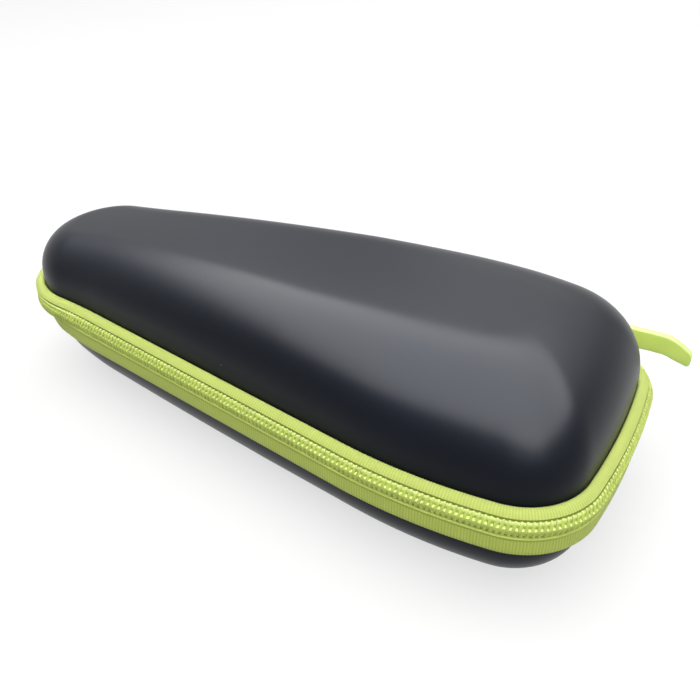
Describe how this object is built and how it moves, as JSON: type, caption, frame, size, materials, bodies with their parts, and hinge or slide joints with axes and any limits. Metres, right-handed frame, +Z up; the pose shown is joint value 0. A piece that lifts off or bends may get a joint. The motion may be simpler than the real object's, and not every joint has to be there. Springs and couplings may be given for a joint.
{
  "type": "zipped hard case",
  "caption": "Moulded clamshell hard case for an electric shaver, closed by a coil zip round three sides and hinged with cloth on the fourth; strap, net pocket and soft pull tab.",
  "frame": {"origin": "on the table, under the middle of the length, on the middle line of the base's flat underside", "axes": "+X along the case towards its wide end, +Z up, the zip slider and the cloth hinge on the +Y side"},
  "size_m": [0.2105, 0.102, 0.0613],
  "materials": {
    "shell_skin": "smooth satin skin over moulded foam",
    "lining_cloth": "brushed knit lining",
    "binding_cloth": "woven binding",
    "lime_tape": "woven zip tape",
    "lime_coil": "nylon coil",
    "stop_metal": "painted crimp",
    "strap_elastic": "woven elastic",
    "net_cord": "knitted net",
    "dark_metal": "dark painted die casting",
    "tab_rubber": "soft matt moulding"
  },
  "bodies": {
    "base": {"lower_shell": "shell_skin", "lower_lining": "lining_cloth", "lower_zip_tape": "lime_tape", "lower_zip_chain": "lime_coil", "lower_chain_end": "lime_coil", "lower_stop": "stop_metal", "tail_stop": "stop_metal", "hinge_strip": "lime_tape", "hinge_facing": "lining_cloth", "lower_binding": "binding_cloth", "retaining_strap": "strap_elastic"},
    "lid": {"upper_shell": "shell_skin", "upper_lining": "lining_cloth", "upper_zip_tape": "lime_tape", "upper_tape_end": "lime_tape", "upper_zip_chain": "lime_coil", "upper_chain_end": "lime_coil", "upper_stop": "stop_metal", "upper_binding": "binding_cloth", "pocket_net": "net_cord", "pocket_hem": "strap_elastic"},
    "slider": {"zip_slider": "dark_metal", "slider_bridge": "dark_metal"},
    "pull": {"puller_link": "dark_metal", "pull_tab": "tab_rubber"}
  },
  "joints": [
    {"name": "lid_hinge", "type": "hinge", "parent": "base", "child": "lid", "pos_m": [0.03715, 0.04441, 0.0295], "axis": [-0.9903, -0.1388, 0], "range_deg": [0, 165], "deforming": ["hinge_strip", "hinge_facing", "upper_tape_end", "upper_chain_end", "upper_stop"]},
    {"name": "slider_travel", "type": "hinge", "parent": "base", "child": "slider", "pos_m": [0.05921, -0.11306, 0.0295], "axis": [0, 0, -1], "range_deg": [0, 4], "deforming": ["lower_chain_end", "upper_chain_end"]},
    {"name": "tab_swing", "type": "hinge", "parent": "slider", "child": "pull", "pos_m": [0.05119, 0.04785, 0.0295], "axis": [0, 0, 1], "range_deg": [0, 180]}
  ]
}
